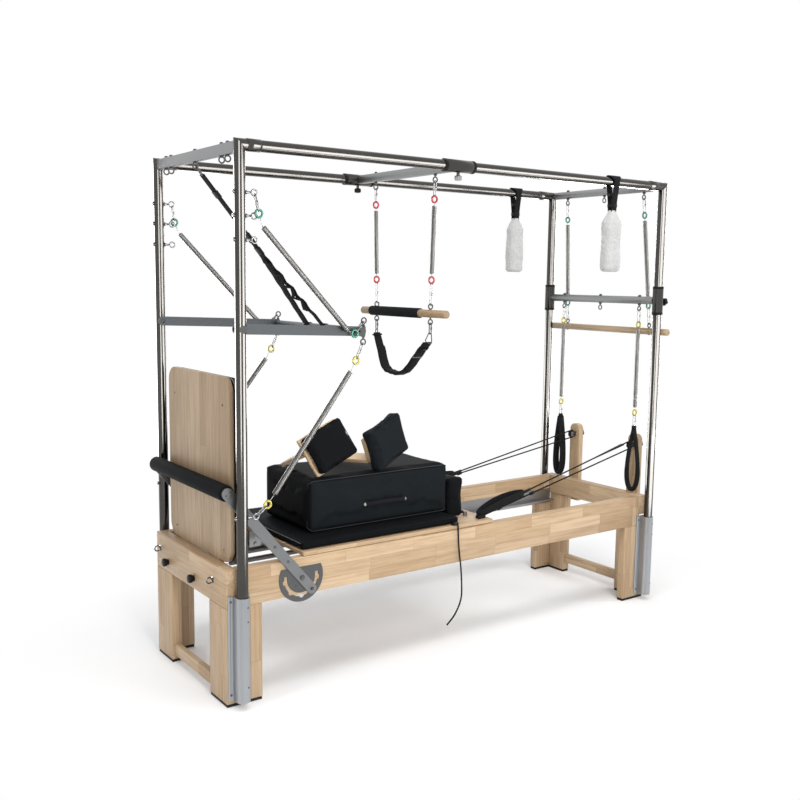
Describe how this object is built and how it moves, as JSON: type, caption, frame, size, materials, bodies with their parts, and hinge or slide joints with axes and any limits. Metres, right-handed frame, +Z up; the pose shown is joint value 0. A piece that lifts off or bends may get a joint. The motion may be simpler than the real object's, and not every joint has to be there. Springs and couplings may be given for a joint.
{
  "type": "pilates trapeze table",
  "caption": "Wooden exercise bed with a spring carriage under a four-post chrome canopy that carries a push bar, a trapeze, springs, straps and loops.",
  "frame": {"origin": "on the floor under the middle of the table", "axes": "+X along the bed toward the head end, +Z up, +Y across the bed away from the viewer's side"},
  "size_m": [2.4684, 0.815, 2.106],
  "materials": {
    "wood": "clear-lacquered pale hardwood",
    "aluminium": "satin anodised",
    "chrome_tube": "polished chrome plate",
    "satin_steel": "satin grey",
    "spring_steel": "bright drawn wire",
    "black_vinyl": "matt black upholstery vinyl over foam",
    "black_plastic": "black moulded plastic",
    "webbing": "woven black webbing and cord",
    "fleece": "off-white fleece"
  },
  "bodies": {
    "frame": {"foot_end_frame": "wood", "head_end_frame": "wood", "side_rail_near": "wood", "side_rail_far": "wood", "track_frame": "aluminium", "bracket_foot_near": "aluminium", "bracket_foot_far": "aluminium", "bracket_head_near": "aluminium", "bracket_head_far": "aluminium", "post_foot_near": "chrome_tube", "post_foot_far": "chrome_tube", "post_head_near": "chrome_tube", "post_head_far": "chrome_tube", "top_rail_near": "chrome_tube", "top_rail_far": "chrome_tube", "foot_crossbar": "satin_steel", "head_crossbar": "chrome_tube", "bar_plate_near": "satin_steel", "bar_plate_far": "satin_steel", "riser_near": "wood", "riser_far": "wood"},
    "carriage": {"carriage_platform": "wood", "carriage_mat": "black_vinyl", "carriage_springs": "spring_steel", "rope_near": "webbing", "rope_far": "webbing", "rope_tail": "webbing"},
    "headrest": {"headrest": "black_vinyl"},
    "sitting_box": {"sitting_box": "black_vinyl"},
    "shoulder_rest_a": {"shoulder_rest_a": "black_vinyl"},
    "shoulder_rest_b": {"shoulder_rest_b": "black_vinyl"},
    "jump_board": {"jump_board": "wood"},
    "foot_bar": {"foot_bar": "satin_steel", "foot_roll": "black_vinyl"},
    "push_bar": {"push_bar": "satin_steel", "upper_spring_near": "spring_steel", "upper_spring_far": "spring_steel", "lower_spring_near": "spring_steel", "lower_spring_far": "spring_steel", "safety_strap": "webbing"},
    "trapeze_carrier": {"trapeze_carrier": "satin_steel"},
    "carrier_knob_near": {"carrier_knob_near": "black_plastic"},
    "carrier_knob_far": {"carrier_knob_far": "black_plastic"},
    "trapeze": {"trapeze_bar": "wood", "trapeze_spring_near": "spring_steel", "trapeze_spring_far": "spring_steel"},
    "sling": {"trapeze_sling": "webbing"},
    "fleece_loop_near": {"fleece_loop_near": "fleece"},
    "fleece_loop_far": {"fleece_loop_far": "fleece"},
    "mid_crossbar": {"mid_crossbar": "satin_steel"},
    "mid_knob": {"mid_knob": "black_plastic"},
    "roll_down_bar": {"roll_down_bar": "wood", "roll_down_spring_near": "spring_steel", "roll_down_spring_far": "spring_steel"},
    "hand_loop_near": {"hand_loop_near": "webbing"},
    "hand_loop_far": {"hand_loop_far": "webbing"},
    "pulley_near": {"pulley_near": "black_plastic"},
    "pulley_far": {"pulley_far": "black_plastic"},
    "plunger_near": {"plunger_near": "black_plastic"},
    "plunger_far": {"plunger_far": "black_plastic"}
  },
  "joints": [
    {"name": "carriage_slide", "type": "slide", "parent": "frame", "child": "carriage", "axis": [1, 0, 0], "range_m": [0, 0.8], "stiffness_N_per_m": 400, "springref_m": -0.05, "deforming": ["carriage_springs", "rope_near", "rope_far"]},
    {"name": "headrest_fold", "type": "hinge", "parent": "carriage", "child": "headrest", "pos_m": [0.03085, 0, 0.567], "axis": [0, 1, 0], "range_deg": [0, 90]},
    {"name": "box_lift", "type": "slide", "parent": "carriage", "child": "sitting_box", "axis": [0, 0, 1], "range_m": [0, 0.05]},
    {"name": "rest_a_lift", "type": "slide", "parent": "sitting_box", "child": "shoulder_rest_a", "axis": [0, 0, 1], "range_m": [0, 0.03]},
    {"name": "rest_b_lift", "type": "slide", "parent": "sitting_box", "child": "shoulder_rest_b", "axis": [0, 0, 1], "range_m": [0, 0.03]},
    {"name": "jump_board_lift", "type": "slide", "parent": "frame", "child": "jump_board", "axis": [0, 0, 1], "range_m": [0, 0.3]},
    {"name": "foot_bar_swing", "type": "hinge", "parent": "frame", "child": "foot_bar", "pos_m": [-0.88715, 0, 0.457], "axis": [0, 1, 0], "range_deg": [-48, 0]},
    {"name": "push_bar_swing", "type": "hinge", "parent": "frame", "child": "push_bar", "pos_m": [-1.15615, 0, 1.43], "axis": [0, 1, 0], "range_deg": [-60, 0], "deforming": ["upper_spring_near", "upper_spring_far", "lower_spring_near", "lower_spring_far", "safety_strap"]},
    {"name": "trapeze_slide", "type": "slide", "parent": "frame", "child": "trapeze_carrier", "axis": [1, 0, 0], "range_m": [-0.15, 0.6]},
    {"name": "carrier_knob_near_turn", "type": "hinge", "parent": "trapeze_carrier", "child": "carrier_knob_near", "pos_m": [-0.16915, -0.377, 2.03], "axis": [0, 0, 1], "continuous": true},
    {"name": "carrier_knob_far_turn", "type": "hinge", "parent": "trapeze_carrier", "child": "carrier_knob_far", "pos_m": [-0.16915, 0.377, 2.03], "axis": [0, 0, 1], "continuous": true},
    {"name": "trapeze_swing", "type": "hinge", "parent": "trapeze_carrier", "child": "trapeze", "pos_m": [-0.16915, 0, 2.036], "axis": [0, 1, 0], "range_deg": [-20, 20]},
    {"name": "sling_swing", "type": "hinge", "parent": "trapeze", "child": "sling", "pos_m": [-0.16915, 0, 1.434], "axis": [0, 1, 0], "range_deg": [-20, 20]},
    {"name": "fleece_near_swing", "type": "hinge", "parent": "frame", "child": "fleece_loop_near", "pos_m": [0.75885, -0.377, 2.079], "axis": [1, 0, 0], "range_deg": [-25, 25]},
    {"name": "fleece_far_swing", "type": "hinge", "parent": "frame", "child": "fleece_loop_far", "pos_m": [0.83885, 0.377, 2.079], "axis": [1, 0, 0], "range_deg": [-25, 25]},
    {"name": "mid_crossbar_slide", "type": "slide", "parent": "frame", "child": "mid_crossbar", "axis": [0, 0, 1], "range_m": [0, 0.1]},
    {"name": "mid_knob_turn", "type": "hinge", "parent": "mid_crossbar", "child": "mid_knob", "pos_m": [1.14085, -0.377, 1.522], "axis": [1, 0, 0], "continuous": true},
    {"name": "roll_down_swing", "type": "hinge", "parent": "frame", "child": "roll_down_bar", "pos_m": [1.11385, 0, 2.036], "axis": [0, 1, 0], "range_deg": [-40, 0]},
    {"name": "hand_loop_near_swing", "type": "hinge", "parent": "mid_crossbar", "child": "hand_loop_near", "pos_m": [1.11385, -0.262, 1.484], "axis": [0, 1, 0], "range_deg": [0, 10]},
    {"name": "hand_loop_far_swing", "type": "hinge", "parent": "mid_crossbar", "child": "hand_loop_far", "pos_m": [1.11385, 0.262, 1.484], "axis": [0, 1, 0], "range_deg": [0, 10]},
    {"name": "pulley_near_turn", "type": "hinge", "parent": "frame", "child": "pulley_near", "pos_m": [1.14915, -0.209, 0.777], "axis": [0, 1, 0], "continuous": true},
    {"name": "pulley_far_turn", "type": "hinge", "parent": "frame", "child": "pulley_far", "pos_m": [1.14915, 0.209, 0.777], "axis": [0, 1, 0], "continuous": true},
    {"name": "plunger_near_pull", "type": "slide", "parent": "frame", "child": "plunger_near", "axis": [-1, 0, 0], "range_m": [0, 0.01], "stiffness_N_per_m": 300, "springref_m": -0.01},
    {"name": "plunger_far_pull", "type": "slide", "parent": "frame", "child": "plunger_far", "axis": [-1, 0, 0], "range_m": [0, 0.01], "stiffness_N_per_m": 300, "springref_m": -0.01}
  ],
  "couplings": [
    {"joint": "pulley_near_turn", "follows": "carriage_slide", "rad_per_m": -50},
    {"joint": "pulley_far_turn", "follows": "carriage_slide", "rad_per_m": -50}
  ]
}
